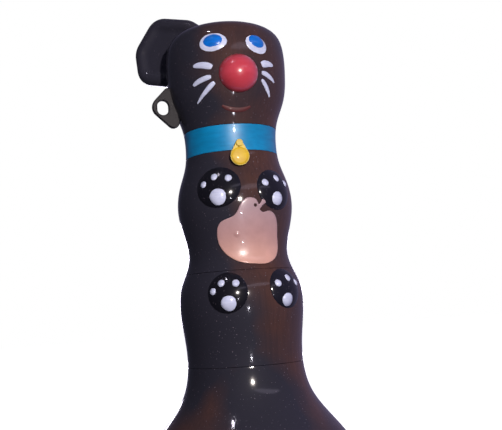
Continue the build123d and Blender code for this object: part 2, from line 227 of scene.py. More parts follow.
def lacqueredWood(name, look):
    material, shader = newMaterial(name, {
        "IOR": 1.45, "Specular IOR Level": 0.08, "Coat Weight": 0.7, "Coat Roughness": look["coatRoughness"],
        "Coat IOR": 1.5,
    })
    along = stretched(material, (1.0, 1.0, look["grainWidth"] / look["grainLength"]))
    grain = noise(material, along.outputs["Vector"], look["grainWidth"], 5.0, 0.6)
    even = stretched(material, (1.0, 1.0, 1.0)).outputs["Vector"]
    patches = noise(material, even, look["patch"], 2.0)
    specks = noise(material, even, look["speck"], 0.0)
    peel = noise(material, even, look["orangePeel"], 1.0)
    wood = ramp(material, grain.outputs["Fac"], [
        (0.3, hexColour(look["stainDeep"])), (0.65, hexColour(look["stain"]))])
    # the dark tone comes in with the random patches and with the painted shade and painted dark reflection
    patchAndShadeMix = ramp(material, patchesAndPaintedShade(material, look, patches.outputs["Fac"]), [
        (look["brownUpTo"], grey(0.0)), (look["darkestFrom"], grey(1.0))])
    toned = mixed(material, patchAndShadeMix, wood, hexColour(look["deepTone"]))
    dust = ramp(material, specks.outputs["Fac"], [
        (look["dustFrom"], grey(0.0)), (look["dustFull"], grey(look["dustShare"]))])
    dusty = mixed(material, dust, toned, hexColour(look["dust"]))
    connect(material, dusty, shader.inputs["Base Color"])
    low, high = look["roughness"]
    worn = ramp(material, patches.outputs["Fac"], [(0.2, grey(low)), (0.8, grey(high))])
    connect(material, worn, shader.inputs["Roughness"])
    bump(material, shader, peel.outputs["Fac"], look["peelDepth"], 0.3, "Coat Normal")
    bump(material, shader, grain.outputs["Fac"], look["grainDepth"], 0.4)
    return material


# Brushed enamel: opaque colour with faint brush streaks, slightly uneven gloss
def enamelPaint(name, colour, shade, streak, roughness=0.28, coat=0.8, streakDepth=0.05):
    material, shader = newMaterial(name, {
        "Roughness": roughness, "IOR": 1.48, "Coat Weight": coat, "Coat Roughness": 0.06,
    })
    across = stretched(material, (0.22, 0.22, 1.0))
    streaks = noise(material, across.outputs["Vector"], streak, 3.0, 0.55)
    even = stretched(material, (1.0, 1.0, 1.0))
    deepTone = noise(material, even.outputs["Vector"], 7 * streak, 2.0)
    tint = ramp(material, streaks.outputs["Fac"], [(0.35, hexColour(shade)), (0.65, hexColour(colour))])
    depth = ramp(material, deepTone.outputs["Fac"], [(0.3, grey(0.88)), (0.7, grey(1.05))])
    connect(material, mixed(material, 1.0, tint, depth, "MULTIPLY"), shader.inputs["Base Color"])
    bump(material, shader, streaks.outputs["Fac"], streakDepth, 0.5)
    return material


enamels = {
    "blue": {"name": "blueBrushedEnamel", "colour": "#048fca", "shade": "#0583bd", "streak": 1.4,
             "roughness": 0.4, "coat": 0.35},
    "yellow": {"name": "yellowEnamel", "colour": "#e3bf1c", "shade": "#d8b01a", "streak": 1.0,
               "roughness": 0.5, "coat": 0.12},
    "white": {"name": "whiteEnamel", "colour": "#dbe3ff", "shade": "#cdd6f6", "streak": 0.8},
    "iris": {"name": "irisBlueEnamel", "colour": "#0676e2", "shade": "#056ace", "streak": 0.8},
    "red": {"name": "redLacquer", "colour": "#d2485a", "shade": "#c63e4d", "streak": 3.0,
            "roughness": 0.3, "coat": 0.9, "streakDepth": 0.02},
    "mouth": {"name": "darkRedEnamel", "colour": "#5c2528", "shade": "#4c2023", "streak": 0.8,
              "roughness": 0.6, "coat": 0.1},
    "pin": {"name": "pinYellowEnamel", "colour": "#dcc24a", "shade": "#ccb040", "streak": 0.6,
            "roughness": 0.5, "coat": 0.12},
    "tagEdge": {"name": "paleYellowEnamel", "colour": "#dfc648", "shade": "#d2b63c", "streak": 0.8,
                "roughness": 0.5, "coat": 0.12},
}
# the ear and paw lacquers keep lacquerLook's painted shade and painted dark reflection
earLacquer = {"stain": "#3a3338", "stainDeep": "#34303a", "deepTone": "#30303c", "coatRoughness": 0.2}
pawLacquer = {"stain": "#1b1b28", "stainDeep": "#171722", "deepTone": "#13131b", "coatRoughness": 0.14}
materials = {
    "wood": lacqueredWood("darkLacqueredBeech", lacquerLook),
    "ear": lacqueredWood("darkLacqueredEar", {**lacquerLook, **earLacquer}),
    "paw": lacqueredWood("blackLacqueredPaw", {**lacquerLook, **pawLacquer}),
    **{key: enamelPaint(**look) for key, look in enamels.items()},
}
print("paints made")


# Pink brushed enamel. Its change from milky mauve at the top to warm peach at the bottom of the tummy is
# painted light and shade, not a change of paint
def tummyPaint():
    look = {"top": "#b2979f", "middle": "#c09796", "bottom": "#dcaa9c", "low": 0.094, "high": 0.116}
    material, shader = newMaterial("pinkTummyEnamel", {
        "Roughness": 0.3, "IOR": 1.48, "Coat Weight": 0.9, "Coat Roughness": 0.07})
    place = addNode(material, "ShaderNodeTexCoord")
    split = addNode(material, "ShaderNodeSeparateXYZ", links={"Vector": place.outputs["Object"]})
    height = addNode(material, "ShaderNodeMapRange", {"From Min": look["low"], "From Max": look["high"]},
                     {"Value": split.outputs["Z"]})
    # painted light and shade: peach at the bottom turning to mauve at the top
    tint = ramp(material, height.outputs["Result"], [
        (0.0, hexColour(look["bottom"])), (0.5, hexColour(look["middle"])), (1.0, hexColour(look["top"]))])
    cloud = noise(material, place.outputs["Object"], 5.0, 3.0)
    uneven = ramp(material, cloud.outputs["Fac"], [(0.3, grey(0.93)), (0.7, grey(1.05))])
    connect(material, mixed(material, 1.0, tint, uneven, "MULTIPLY"), shader.inputs["Base Color"])
    bump(material, shader, cloud.outputs["Fac"], 0.25, 0.5)
    return material


# Turned brass, zinc plated steel and slippery white plastic: inside the stack, seen only in a cutaway
def metal(name, colour, roughness, lineWidth):
    material, shader = newMaterial(name, {"Metallic": 1.0})
    rings = stretched(material, (0.05, 0.05, 1.0))
    lines = noise(material, rings.outputs["Vector"], lineWidth, 2.0)
    tone = ramp(material, lines.outputs["Fac"], [(0.3, hexColour(colour)), (0.7, grey(0.75))])
    rough = ramp(material, lines.outputs["Fac"], [(0.3, grey(roughness)), (0.7, grey(roughness + 0.15))])
    connect(material, tone, shader.inputs["Base Color"])
    connect(material, rough, shader.inputs["Roughness"])
    return material


def plainStuff(name, colour, shade, size, roughness, depth, sheen=0.0):
    material, shader = newMaterial(name, {"Roughness": roughness, "Sheen Weight": sheen})
    even = stretched(material, (1.0, 1.0, 1.0))
    fleck = noise(material, even.outputs["Vector"], size, 4.0, 0.7)
    tone = ramp(material, fleck.outputs["Fac"], [(0.3, hexColour(shade)), (0.7, hexColour(colour))])
    connect(material, tone, shader.inputs["Base Color"])
    bump(material, shader, fleck.outputs["Fac"], depth, 0.8)
    return material


materials["tummy"] = tummyPaint()
materials["brass"] = metal("turnedBrass", "#b98f45", 0.25, 0.3)
materials["zinc"] = metal("zincPlatedSteel", "#a9acb2", 0.3, 0.25)
materials["slip"] = plainStuff("whiteSlipPlastic", "#dcdcd6", "#cfcfc8", 1.5, 0.5, 0.01)
materials["felt"] = plainStuff("darkFelt", "#2a272b", "#161417", 0.5, 0.95, 0.3, 0.6)
materials["beech"] = plainStuff("bareBeech", "#c9a578", "#b48d60", 0.8, 0.6, 0.05)
materials["cord"] = plainStuff("waxedCord", "#17141b", "#0d0b11", 0.7, 0.6, 0.2)


turnedBody = {
    "stations": [  # radius and height, mm, from the foot's rim to the top of the head
        (50.5, 6.0), (38.9, 22.0), (27.7, 38.0), (25.2, 50.0), (25.6, 61.0), (27.1, 74.0),
        (26.2, 84.0), (22.1, 95.0), (22.9, 105.0), (25.3, 117.0), (24.1, 128.0), (21.0, 138.0),
        (20.3, 145.5), (21.5, 156.0), (25.2, 166.0), (26.7, 177.0), (26.5, 188.0), (24.4, 194.5),
        (18.7, 198.4), (10.7, 199.7), (0.0, 200.0)],
    "startSlope": (-0.75, 1.0),
    "endSlope": (-1.0, 0.0),
    "samples": 1600,
    "around": 192,  # faces round the axis
    "step": 1.0,  # between points along the curve, mm
    "cornerRoom": 0.3,  # from a section's corner to the next point of the curve, mm
    "edge": 0.12,  # how far hard edges are softened, mm
}


def smoothCurve(points, startSlope, endSlope, samples):
    # the one curve with smooth bends that passes through all the points
    points = np.array(points, float)
    gaps = np.linalg.norm(np.diff(points, axis=0), axis=1)
    knots = np.concatenate(([0.0], np.cumsum(gaps)))
    count = len(points)
    system = np.eye(count)
    known = np.zeros((count, 2))
    known[0] = np.array(startSlope) / np.linalg.norm(startSlope)
    known[-1] = np.array(endSlope) / np.linalg.norm(endSlope)
    for i in range(1, count - 1):
        before, after = gaps[i - 1], gaps[i]
        system[i, i - 1:i + 2] = after, 2 * (before + after), before
        known[i] = 3 * (after * (points[i] - points[i - 1]) / before
                        + before * (points[i + 1] - points[i]) / after)
    slopes = np.linalg.solve(system, known)
    places = np.linspace(0.0, knots[-1], samples)
    span = np.clip(np.searchsorted(knots, places, side="right") - 1, 0, count - 2)
    t = ((places - knots[span]) / gaps[span])[:, None]
    gap = gaps[span][:, None]
    return ((1 + 2 * t) * (1 - t) ** 2 * points[span] + t * (1 - t) ** 2 * gap * slopes[span]
            + t * t * (3 - 2 * t) * points[span + 1] - t * t * (1 - t) * gap * slopes[span + 1])


outline = smoothCurve(turnedBody["stations"], turnedBody["startSlope"], turnedBody["endSlope"],
                      turnedBody["samples"])


def bodyRadius(height):
    # mm, on the turned side below the crown
    return float(np.interp(height, outline[:, 1], outline[:, 0]))


def side(bottom, top):
    # points of the turned side from one height up to another, mm, a step apart along the curve
    room = turnedBody["cornerRoom"]
    inside = outline[(outline[:, 1] > bottom + room) & (outline[:, 1] < top - room)]
    travelled = np.concatenate(([0.0], np.cumsum(np.linalg.norm(np.diff(inside, axis=0), axis=1))))
    spaced = np.arange(0.0, travelled[-1], turnedBody["step"])
    points = [(np.interp(s, travelled, inside[:, 0]), np.interp(s, travelled, inside[:, 1])) for s in spaced]
    return [(bodyRadius(bottom), bottom), *points, (bodyRadius(top), top)]


def lathe(name, section, around=turnedBody["around"]):
    # a closed section, (radius, height) in mm, spun round the axis and softened at its hard edges
    deselectAll()
    bpy.ops.mesh.primitive_circle_add(vertices=len(section), radius=0.01)
    piece = named(name)
    for vertex, (radius, height) in zip(piece.data.vertices, section):
        vertex.co = (radius * mm, 0.0, height * mm)
    bpy.ops.object.mode_set(mode="EDIT")
    bpy.ops.mesh.select_all(action="SELECT")
    bpy.ops.mesh.spin(steps=around, angle=tau, center=(0, 0, 0), axis=(0, 0, 1))
    bpy.ops.mesh.select_all(action="SELECT")
    bpy.ops.mesh.remove_doubles(threshold=1e-6)
    bpy.ops.mesh.normals_make_consistent(inside=False)
    bpy.ops.object.mode_set(mode="OBJECT")
    applyModifier(piece, "BEVEL", width=turnedBody["edge"] * mm, segments=3, limit_method="ANGLE",
                  angle_limit=math.radians(50))
    smooth(piece)
    return piece


def heights(node):
    low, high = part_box(node)
    return low.z / mm, high.z / mm


boreRadius = 5.45  # of the bush's seat, mm
seatRadius, seatDepth = 12.1, 1.08  # of the thrust washer's recess, mm


def makeSegment(body, node, finish):
    bottom, top = heights(node)
    section = side(bottom, top) + [
        (seatRadius, top), (seatRadius, top - seatDepth), (boreRadius, top - seatDepth), (boreRadius, bottom)]
    finishPiece(lathe(f"{body}Wood", section), materials[finish], body, [node])


makeSegment("hips", "hips_segment", "wood")
makeSegment("chest", "chest_segment", "wood")
makeSegment("collar", "collar_ring", "blue")

footShape = {"rimRound": 2.5, "rimArc": (-90, 38), "sideStart": 9.2, "padRadius": 41.1, "padDepth": 2.0,
             "nutRadius": 10.5, "nutDepth": 13.5, "rodHole": 3.05}


def arc(centre, radius, start, end, steps=6):
    angles = [math.radians(start + (end - start) * i / steps) for i in range(steps + 1)]
    return [(centre[0] + radius * math.cos(a), centre[1] + radius * math.sin(a)) for a in angles]


def makeFoot():
    shape = footShape
    bottom, top = heights("base_foot")
    rimRadius = turnedBody["stations"][0][0]
    rimRound = shape["rimRound"]
    rim = arc((rimRadius - rimRound, bottom + rimRound), rimRound, *shape["rimArc"])
    section = rim + side(shape["sideStart"], top) + [
        (seatRadius, top), (seatRadius, top - seatDepth), (shape["rodHole"], top - seatDepth),
        (shape["rodHole"], bottom + shape["nutDepth"]), (shape["nutRadius"], bottom + shape["nutDepth"]),
        (shape["nutRadius"], bottom + shape["padDepth"]), (shape["padRadius"], bottom + shape["padDepth"]),
        (shape["padRadius"], bottom)]
    finishPiece(lathe("footWood", section), materials["wood"], "base", ["base_foot"])


headShape = {
    "plugRadius": 10.5, "plugGap": 0.06, "plugSides": 96,
    "crownStride": 12, "plugStride": 6,  # every so many points of the outline are used
    "footRoom": 0.4, "mouthRoom": 0.2, "plugRoom": 0.1, "axisRoom": 0.05,  # kept free beside corners, mm
}
headBottom = heights("head_block")[0]


def makeHead():
    # the head's wood, open at the crown for the spring, and the plug that closes it
    radius, stride = headShape["plugRadius"], headShape["crownStride"]
    crown = outline[outline[:, 1] > turnedBody["stations"][-4][1]]
    mouthEdge = float(np.interp(-radius, -crown[:, 0], crown[:, 1]))
    pocketFloor = heights("head_washer")[0]
    crownSide = [(r, h) for r, h in outline[::stride]
                 if h > headBottom + headShape["footRoom"] and r > radius + headShape["mouthRoom"]]
    section = [(bodyRadius(headBottom), headBottom), *crownSide, (radius, mouthEdge),
               (radius, pocketFloor), (boreRadius, pocketFloor), (boreRadius, headBottom)]
    finishPiece(lathe("headWood", section), materials["wood"], "head", ["head_block"])
    bottom, top = heights("crown_plug")
    plugEdge = radius - headShape["plugGap"]
    plugTop = [(r, h) for r, h in outline[::headShape["plugStride"]]
               if headShape["axisRoom"] < r < radius - headShape["plugRoom"]]
    plug = [(plugEdge, bottom), (plugEdge, mouthEdge), *plugTop, (0.0, top), (0.0, bottom)]
    finishPiece(lathe("crownPlug", plug, headShape["plugSides"]), materials["wood"], "head",
                ["crown_plug"])


makeFoot()
makeHead()
print("turned segments made")


def wrapOnBody(piece, azimuth):
    # a flat piece, x sideways, -y outward and z up, laid round the turned body at an azimuth
    for vertex in piece.data.vertices:
        across, rise, height = vertex.co.x / mm, -vertex.co.y / mm, vertex.co.z / mm
        radius = bodyRadius(height)
        turn = math.radians(azimuth) + math.asin(max(-0.95, min(0.95, across / radius)))
        reach = (radius + rise) * mm
        vertex.co = (reach * math.sin(turn), -reach * math.cos(turn), height * mm)


def spread(points):
    # where some points lie on the turned body: middle azimuth and height, and half sizes in mm
    turns = [math.degrees(math.atan2(point.x, -point.y)) for point in points]
    levels = [point.z / mm for point in points]
    height = (min(levels) + max(levels)) / 2
    halfTurn = math.radians(max(turns) - min(turns)) / 2
    return {"azimuth": (min(turns) + max(turns)) / 2, "height": height,
            "wide": bodyRadius(height) * math.sin(halfTurn), "tall": (max(levels) - min(levels)) / 2}


def nodeSpread(node):
    return spread([vertex.co for vertex in nodes[node].data.vertices])


def looseSpreads(node):
    # the separate drops of one CAD node, from a merged copy that is then deleted
    deselectAll()
    copy = bpy.data.objects.new(f"{node}_copy", nodes[node].data.copy())
    bpy.context.scene.collection.objects.link(copy)
    only(copy)
    bpy.ops.object.mode_set(mode="EDIT")
    bpy.ops.mesh.select_all(action="SELECT")
    bpy.ops.mesh.remove_doubles(threshold=1e-6)
    bpy.ops.mesh.separate(type="LOOSE")
    bpy.ops.object.mode_set(mode="OBJECT")
    drops = [spread([vertex.co for vertex in part.data.vertices])
             for part in bpy.context.selected_objects]
    bpy.ops.object.delete()
    return sorted(drops, key=lambda drop: drop["azimuth"])


def paintDrop(name, size, rise, sink=0.0, tilt=0.0, wobble=0.0, seed=0.0, rings=20):
    # a domed drop of paint, sunk a little: size is its half width and half height, in mm
    deselectAll()
    bpy.ops.mesh.primitive_uv_sphere_add(segments=48, ring_count=rings, radius=1.0,
                                         rotation=(math.radians(90), 0, 0))
    piece = settle(named(name))
    bpy.ops.object.mode_set(mode="EDIT")
    bpy.ops.mesh.select_all(action="SELECT")
    bpy.ops.transform.resize(value=(size[0] * mm, (rise + sink) * mm, size[1] * mm))
    bpy.ops.transform.translate(value=(0, sink * mm, 0))
    bpy.ops.object.mode_set(mode="OBJECT")
    lean = math.radians(tilt)
    for vertex in piece.data.vertices:
        x, z = vertex.co.x, vertex.co.z
        angle = math.atan2(z, x)
        swell = 1 + wobble * (math.sin(3 * angle + seed) + 0.6 * math.sin(5 * angle + 2 * seed))
        vertex.co.x = swell * (x * math.cos(lean) - z * math.sin(lean))
        vertex.co.z = swell * (x * math.sin(lean) + z * math.cos(lean))
    return piece


def lift(piece, height):
    for vertex in piece.data.vertices:
        vertex.co.z += height * mm


def turnOver(piece):
    # wrapping mirrors the outward side, so the faces are turned to point outward again
    only(piece)
    bpy.ops.object.mode_set(mode="EDIT")
    bpy.ops.mesh.select_all(action="SELECT")
    bpy.ops.mesh.normals_make_consistent(inside=False)
    bpy.ops.object.mode_set(mode="OBJECT")


def placeDrop(piece, azimuth, height, finish, body, replaced):
    lift(piece, height)
    wrapOnBody(piece, azimuth)
    turnOver(piece)
    smooth(piece, 60)
    finishPiece(piece, finish, body, replaced)


pawLook = {"rise": 1.7, "crown": 0.7, "skirt": 0.4, "palmRise": 0.85, "toeRise": 0.65, "padSink": 0.5,
           "padWobble": 0.02, "padRings": 16, "domeRings": 28}


def domeHeight(across, up):
    # a low dome, 1 in the middle and 0 at its edge, which it meets at a shallow angle
    return max(0.0, 1 - across * across - up * up) ** pawLook["crown"]


def makePad(name, drop, rise, paw, seed):
    pad = paintDrop(name, (drop["wide"], drop["tall"]), rise, pawLook["padSink"],
                    wobble=pawLook["padWobble"], seed=seed, rings=pawLook["padRings"])
    turnPerMm = math.degrees(1 / bodyRadius(drop["height"]))
    for vertex in pad.data.vertices:
        azimuth = drop["azimuth"] + vertex.co.x / mm * turnPerMm
        height = drop["height"] + vertex.co.z / mm
        across = bodyRadius(height) * math.sin(math.radians(azimuth - paw["azimuth"])) / paw["wide"]
        up = (height - paw["height"]) / paw["tall"]
        vertex.co.y -= pawLook["rise"] * domeHeight(across, up) * mm
    lift(pad, drop["height"])
    wrapOnBody(pad, drop["azimuth"])
    turnOver(pad)
    smooth(pad, 60)
    return pad


def makePaw(node):
    place = node.removeprefix("paw_")
    body = "chest" if place.startswith("front") else "hips"
    paw = nodeSpread(node)
    dome = paintDrop(f"paw_{place}_dome", (paw["wide"], paw["tall"]), pawLook["rise"],
                     rings=pawLook["domeRings"])
    for vertex in dome.data.vertices:
        across, up = vertex.co.x / (paw["wide"] * mm), vertex.co.z / (paw["tall"] * mm)
        inside = vertex.co.y > -1e-9
        vertex.co.y = pawLook["skirt"] * mm if inside else -pawLook["rise"] * domeHeight(across, up) * mm
    placeDrop(dome, paw["azimuth"], paw["height"], materials["paw"], body, [node])
    for kind, rise in (("palm_pad", pawLook["palmRise"]), ("toe_pads", pawLook["toeRise"])):
        drops = looseSpreads(f"{kind}_{place}")
        pads = [makePad(f"{kind}_{place}_{count}", drop, rise, paw, count + paw["height"])
                for count, drop in enumerate(drops)]
        joinAll(pads)
        finishPiece(named(f"{kind}_{place}_enamel"), materials["white"], body, [f"{kind}_{place}"])


for node in sorted(n for n in nodes if n.startswith("paw_")):
    makePaw(node)
print("paws made")


eyeLook = {
    "eye_white": {"finish": "white", "slot": "white_enamel", "rise": 0.55, "start": 0.0},
    "iris": {"finish": "iris", "slot": "iris_blue", "rise": 0.5, "start": 0.42},
}
eyeTilt = {"left": 3.0, "right": -20.0}
eyeSink, eyeWobble = 0.6, 0.012


def makeEye(part, hand):
    look = eyeLook[part]
    node = f"{part}_{hand}"
    shape = nodeSpread(node)
    piece = paintDrop(f"{node}_enamel", (shape["wide"], shape["tall"]), look["rise"], eyeSink,
                      eyeTilt[hand], eyeWobble, len(node))
    for vertex in piece.data.vertices:
        vertex.co.y -= look["start"] * mm
    placeDrop(piece, shape["azimuth"], shape["height"], materials[look["finish"]], "head", [node])


for hand in eyeTilt:
    for part in eyeLook:
        makeEye(part, hand)


headTurn = -3.3  # degrees about +Z in the stored pose


def brushStroke(node, points, width, rise, azimuth, finish, taper):
    # a stroke of thick paint along a bent path; the radii thin it where the brush lifts
    name = f"{node}_enamel"
    deselectAll()
    bpy.ops.curve.primitive_nurbs_path_add(radius=1.0)
    path = named(name)
    spline = path.data.splines[0]
    (x0, z0), (x1, z1), (x2, z2) = points
    shares = (0.0, 0.1, 0.5, 0.9, 1.0)
    swell = (0.55 * taper[0], taper[0] + 0.1, taper[1], taper[2], 0.5 * taper[2])
    for point, share, size in zip(spline.points, shares, swell):
        a, b, c = (1 - share) * (1 - 2 * share), 4 * share * (1 - share), share * (2 * share - 1)
        point.co = ((a * x0 + b * x1 + c * x2) * mm, 0.0, (a * z0 + b * z1 + c * z2) * mm, 1.0)
        point.radius = size
    spline.order_u = 4
    spline.use_endpoint_u = True
    spline.resolution_u = 8
    path.data.bevel_depth = width / 2 * mm
    path.data.bevel_resolution = 5
    path.data.use_fill_caps = True
    only(path)
    bpy.ops.object.convert(target="MESH")
    piece = named(name)
    for vertex in piece.data.vertices:
        vertex.co.y *= rise / (width / 2)
    wrapOnBody(piece, headTurn + azimuth)
    turnOver(piece)
    smooth(piece, 60)
    finishPiece(piece, materials[finish], "head", [node])


whiskerRise = 0.6
whiskers = {  # azimuth from the middle of the face, width, (sideways, height above the head's foot), taper
    "left_upper": (-32.3, 3.0, [(4.4, 23.6), (0.0, 25.4), (-4.2, 25.2)], (1.0, 1.0, 0.75)),
    "left_middle": (-34.0, 2.4, [(4.3, 19.6), (0.0, 19.2), (-4.4, 17.2)], (0.9, 1.0, 0.85)),
    "left_lower": (-32.5, 2.3, [(4.8, 17.2), (0.8, 14.2), (-4.6, 9.8)], (0.95, 0.9, 0.45)),
    "right_upper": (32.2, 3.3, [(-3.4, 24.6), (0.0, 25.6), (3.4, 25.0)], (1.0, 0.95, 0.6)),
    "right_middle": (33.2, 2.4, [(-3.8, 21.2), (0.0, 20.4), (3.8, 17.9)], (0.9, 1.0, 0.6)),
    "right_lower": (31.0, 2.2, [(-2.8, 18.2), (0.0, 15.4), (2.6, 11.6)], (0.8, 1.0, 0.6)),
}
mouthLook = {"points": [(-6.6, 7.6), (-0.5, 4.6), (5.6, 7.0)], "width": 2.0, "rise": 0.3,
             "taper": (0.8, 1.1, 0.8)}


def aboveHeadFoot(points):
    return [(sideways, headBottom + up) for sideways, up in points]


for place, (azimuth, width, points, taper) in whiskers.items():
    brushStroke(f"whisker_{place}", aboveHeadFoot(points), width, whiskerRise, azimuth, "white",
                taper)
brushStroke("mouth", aboveHeadFoot(mouthLook["points"]), mouthLook["width"], mouthLook["rise"], 0.0, "mouth",
            mouthLook["taper"])

noseLook = {"radius": 8.5, "flatten": 0.97, "azimuth": -1.8, "height": 20.6, "reach": 25.1}


def makeNose():
    deselectAll()
    bpy.ops.mesh.primitive_uv_sphere_add(segments=64, ring_count=40, radius=noseLook["radius"] * mm)
    ball = named("noseBall")
    bpy.ops.object.mode_set(mode="EDIT")
    bpy.ops.mesh.select_all(action="SELECT")
    bpy.ops.transform.resize(value=(1.0, 1.0, noseLook["flatten"]))
    bpy.ops.object.mode_set(mode="OBJECT")
    turn = math.radians(noseLook["azimuth"])
    ball.location = (noseLook["reach"] * math.sin(turn) * mm, -noseLook["reach"] * math.cos(turn) * mm,
                     (headBottom + noseLook["height"]) * mm)
    settle(ball)
    smooth(ball, 60)
    finishPiece(ball, materials["red"], "head", ["nose_ball"])


makeNose()
print("face made")


tummyShape = {  # sideways and height from the middle of the patch, mm
    "edge": [(0.4, 18.0), (-2.8, 16.6), (-4.6, 13.6), (-6.8, 10.6), (-12.0, 8.2), (-13.2, 3.4),
             (-11.2, -3.4), (-5.7, -8.4), (1.5, -9.9), (8.2, -9.5), (12.4, -6.0), (13.0, 1.0),
             (12.8, 7.0), (11.2, 11.0), (8.6, 12.2), (6.0, 11.6), (4.4, 12.8), (3.9, 15.4), (2.8, 17.2)],
    "wisp": [(4.4, 13.8, 0.8), (5.0, 14.5, 0.75), (5.6, 15.1, 0.75), (6.2, 15.7, 0.9), (6.7, 16.2, 1.1)],
    "bareSpot": (2.5, 14.5, 0.75), "thickness": 0.9, "voxel": 0.25, "middle": 12.0, "samples": 110,
    "blob": (-5.4, 2.8), "blobRadius": 1.5, "blobRise": 0.4,
}


def closedCurve(points, samples):
    # a closed smooth outline: the points are run round three times, and the middle lap is kept
    laps = points + points + points
    curve = smoothCurve(laps, (points[1][0] - points[0][0], points[1][1] - points[0][1]),
                        (points[0][0] - points[-1][0], points[0][1] - points[-1][1]), samples * 3)
    distances = np.hypot(*(curve - np.array(points[0])).T)
    middleLap = slice(samples - samples // 4, samples + samples // 4)
    first = middleLap.start + int(np.argmin(distances[middleLap]))
    return curve[first:first + samples - 1]


def paintBead(x, z, radius, thickness):
    bpy.ops.mesh.primitive_cylinder_add(vertices=24, radius=radius * mm, depth=thickness * mm,
                                        location=(x * mm, 0, z * mm), rotation=(math.pi / 2, 0, 0))
    return settle(bpy.context.object)


def makeTummy():
    shape = tummyShape
    edge = closedCurve(shape["edge"], shape["samples"])
    deselectAll()
    bpy.ops.mesh.primitive_circle_add(vertices=len(edge), radius=0.01, fill_type="NGON")
    tummy = named("tummy_enamel")
    for vertex, (x, z) in zip(tummy.data.vertices, edge):
        vertex.co = (x * mm, shape["thickness"] / 2 * mm, z * mm)
    bpy.ops.object.mode_set(mode="EDIT")
    bpy.ops.mesh.select_all(action="SELECT")
    bpy.ops.mesh.extrude_region_move(TRANSFORM_OT_translate={"value": (0, -shape["thickness"] * mm, 0)})
    bpy.ops.mesh.select_all(action="SELECT")
    bpy.ops.mesh.normals_make_consistent(inside=False)
    bpy.ops.object.mode_set(mode="OBJECT")
    joinAll([tummy] + [paintBead(*bead, shape["thickness"]) for bead in shape["wisp"]])
    applyModifier(tummy, "REMESH", mode="VOXEL", voxel_size=shape["voxel"] * mm)
    applyModifier(tummy, "SMOOTH", factor=0.5, iterations=6)
    bare = paintBead(*shape["bareSpot"], 3 * shape["thickness"])
    applyModifier(tummy, "BOOLEAN", operation="DIFFERENCE", object=bare, solver="EXACT")
    only(bare)
    bpy.ops.object.delete()
    for vertex in tummy.data.vertices:
        away = math.hypot(vertex.co.x / mm - shape["blob"][0], vertex.co.z / mm - shape["blob"][1])
        if vertex.co.y < 0 and away < shape["blobRadius"]:
            swell = 0.5 + 0.5 * math.cos(math.pi * away / shape["blobRadius"])
            vertex.co.y -= shape["blobRise"] * swell * mm
    lift(tummy, heights("chest_segment")[0] + shape["middle"])
    wrapOnBody(tummy, 0.0)
    turnOver(tummy)
    smooth(tummy, 80)
    finishPiece(tummy, materials["tummy"], "chest", ["tummy_patch"])


makeTummy()
print("tummy made")


earShape = {  # circles that the ear's outline is pulled round: distance from the axis, height, radius
    "lobes": [(31.0, 203.2, 9.0), (37.0, 196.0, 9.0), (37.2, 189.4, 8.2), (20.0, 199.2, 10.0),
              (27.0, 187.0, 8.5)],
    "thickness": 8.9, "round": 3.1, "shrink": 0.05,
    "hollow": 1.5, "steps": [(0.8, 0.0), (0.8, 0.25), (1.0, 0.45), (1.0, 0.25), (1.0, 0.05)],
    "azimuth": {"left": -130.0, "right": 138.0}, "drop": {"left": 0.0, "right": 6.0},
}


def hullOutline(lobes, samples=72):
    # the outer edge of a string pulled round circles, by its furthest point in each direction
    points = []
    for i in range(samples * 4):
        a = tau * i / (samples * 4)
        outward = np.array((math.cos(a), math.sin(a)))
        best = max(lobes, key=lambda lobe: lobe[0] * outward[0] + lobe[1] * outward[1] + lobe[2])
        points.append(np.array(best[:2]) + best[2] * outward)
    points = np.array(points + points[:1])
    travelled = np.concatenate(([0.0], np.cumsum(np.linalg.norm(np.diff(points, axis=0), axis=1))))
    spaced = np.linspace(0, travelled[-1], samples, endpoint=False)
    return [(np.interp(s, travelled, points[:, 0]), np.interp(s, travelled, points[:, 1])) for s in spaced]


def makeEar(hand):
    outlinePoints = hullOutline([(r, h - earShape["drop"][hand], size - earShape["shrink"])
                                 for r, h, size in earShape["lobes"]])
    half = earShape["thickness"] / 2
    facing = 1 if hand == "left" else -1  # the hollow side looks forward on both ears
    deselectAll()
    bpy.ops.mesh.primitive_circle_add(vertices=len(outlinePoints), radius=0.01, fill_type="NGON")
    ear = named(f"ear_{hand}_carved")
    for vertex, (distance, height) in zip(ear.data.vertices, outlinePoints):
        vertex.co = (distance * mm, -facing * half * mm, height * mm)
    bpy.ops.object.mode_set(mode="EDIT")
    bpy.ops.mesh.select_mode(type="FACE")
    bpy.ops.mesh.select_all(action="SELECT")
    bpy.ops.mesh.extrude_region_move(TRANSFORM_OT_translate={"value": (0, 2 * facing * half * mm, 0)})
    bpy.ops.mesh.select_all(action="SELECT")
    bpy.ops.mesh.normals_make_consistent(inside=False)
    bpy.ops.object.mode_set(mode="OBJECT")
    applyModifier(ear, "BEVEL", width=earShape["round"] * mm, segments=6, limit_method="ANGLE",
                  angle_limit=math.radians(60))
    faces = ear.data.polygons
    front = max((face for face in faces if face.normal.y * facing > 0.99), key=lambda face: face.area)
    for face in faces:
        face.select = face.index == front.index
    bpy.ops.object.mode_set(mode="EDIT")
    for inset, share in earShape["steps"]:
        bpy.ops.mesh.inset(thickness=inset * mm, depth=-share * earShape["hollow"] * mm)
    bpy.ops.object.mode_set(mode="OBJECT")
    ear.rotation_euler = (0, 0, math.radians(earShape["azimuth"][hand] - 90))
    settle(ear)
    smooth(ear, 40)
    finishPiece(ear, materials["ear"], "head", [f"ear_{hand}"])


for hand in ("left", "right"):
    makeEar(hand)
print("ears made")


tagLook = {  # yellow enamel drop on the pale tag, mm
    "azimuth": -5.4, "front": 24.5, "pinHeight": 2.1, "drop": 5.5, "tipDrop": 2.3, "tipRadius": 0.6,
    "discRadius": 3.75, "rise": 0.5, "edge": 0.1, "steps": [(0.15, 0.35), (0.3, 0.3), (0.45, 0.35)],
}


